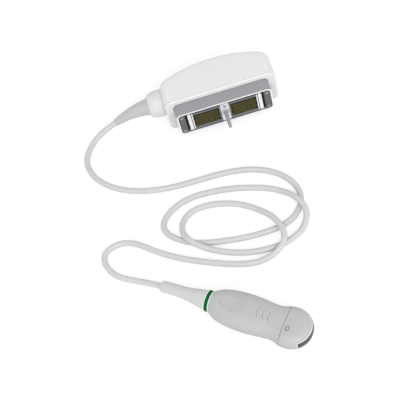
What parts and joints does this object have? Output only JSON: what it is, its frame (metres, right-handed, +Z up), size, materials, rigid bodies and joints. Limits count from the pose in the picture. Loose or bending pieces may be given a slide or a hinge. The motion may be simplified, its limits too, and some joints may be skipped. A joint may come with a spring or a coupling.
{
  "type": "ultrasound transducer probe",
  "caption": "Curved-array ultrasound transducer: a moulded handle with a black lens and a green ring, a free cable, and a white locking connector with its contact face open.",
  "frame": {"origin": "on the connector's flat underside, under the point where the cable gland's axis crosses the lock shaft's axis", "axes": "+Z up, away from the surface that it lies on; -Y out of the contact face, along the lock shaft; +X along the connector, away from the cable gland"},
  "size_m": [0.2238, 0.3398, 0.044],
  "materials": {
    "housing_white": "satin moulded",
    "collar_white": "satin moulded",
    "well_white": "matt moulded",
    "lever_grey": "matt moulded",
    "skirt_metal": "satin plated",
    "insulator_black": "matt moulded",
    "contact_block_black": "matt, with rows of plated contacts",
    "contact_frame": "satin",
    "guide_bar_bright": "bright",
    "end_plate_grey": "satin",
    "centre_plate_pale": "satin",
    "face_screw_steel": "polished",
    "screw_steel": "plain",
    "shaft_steel": "ground",
    "bush_bronze": "turned",
    "board_green": "circuit board",
    "inner_harness": "matt",
    "boot_grey": "matt moulded",
    "boot_white": "matt moulded",
    "cable_sheath": "satin",
    "ring_green": "gloss",
    "handle_grey": "fine matt",
    "lens_rubber": "smooth silicone",
    "matching_brown": "filled epoxy",
    "array_ceramic": "diced ceramic",
    "backing_black": "filled epoxy",
    "flex_copper": "polyimide film"
  },
  "bodies": {
    "probe": {"acoustic_lens": "lens_rubber", "backing_block": "backing_black", "cable": "cable_sheath", "centre_plate": "centre_plate_pale", "centre_screw": "face_screw_steel", "colour_ring": "ring_green", "connector_board": "board_green", "connector_boot": "boot_grey", "connector_harness": "inner_harness", "contact_block_left": "contact_block_black", "contact_block_right": "contact_block_black", "contact_frame_left": "contact_frame", "contact_frame_right": "contact_frame", "end_plate_left": "end_plate_grey", "end_plate_right": "end_plate_grey", "flex_lower": "flex_copper", "flex_upper": "flex_copper", "gland_collar": "collar_white", "guide_bar_left": "guide_bar_bright", "guide_bar_right": "guide_bar_bright", "handle_board": "board_green", "handle_boot": "boot_white", "handle_harness": "inner_harness", "handle_shell_lower": "handle_grey", "handle_shell_upper": "handle_grey", "housing_lower": "housing_white", "housing_screw_1": "screw_steel", "housing_screw_2": "screw_steel", "housing_screw_3": "screw_steel", "housing_screw_4": "screw_steel", "housing_upper": "housing_white", "insulator_body": "insulator_black", "lever_well": "well_white", "matching_layer": "matching_brown", "metal_skirt": "skirt_metal", "nose_shell": "handle_grey", "plate_screw_left_1": "face_screw_steel", "plate_screw_left_2": "face_screw_steel", "plate_screw_right_1": "face_screw_steel", "plate_screw_right_2": "face_screw_steel", "ring_collar": "collar_white", "shaft_bush": "bush_bronze", "transducer_array": "array_ceramic"},
    "lock": {"lock_shaft": "shaft_steel", "lock_lever": "lever_grey", "lever_screw": "screw_steel"}
  },
  "joints": [
    {"name": "lock_turn", "type": "hinge", "parent": "probe", "child": "lock", "pos_m": [0, -0.0375, 0.022], "axis": [0, 1, 0], "range_deg": [0, 90]}
  ]
}
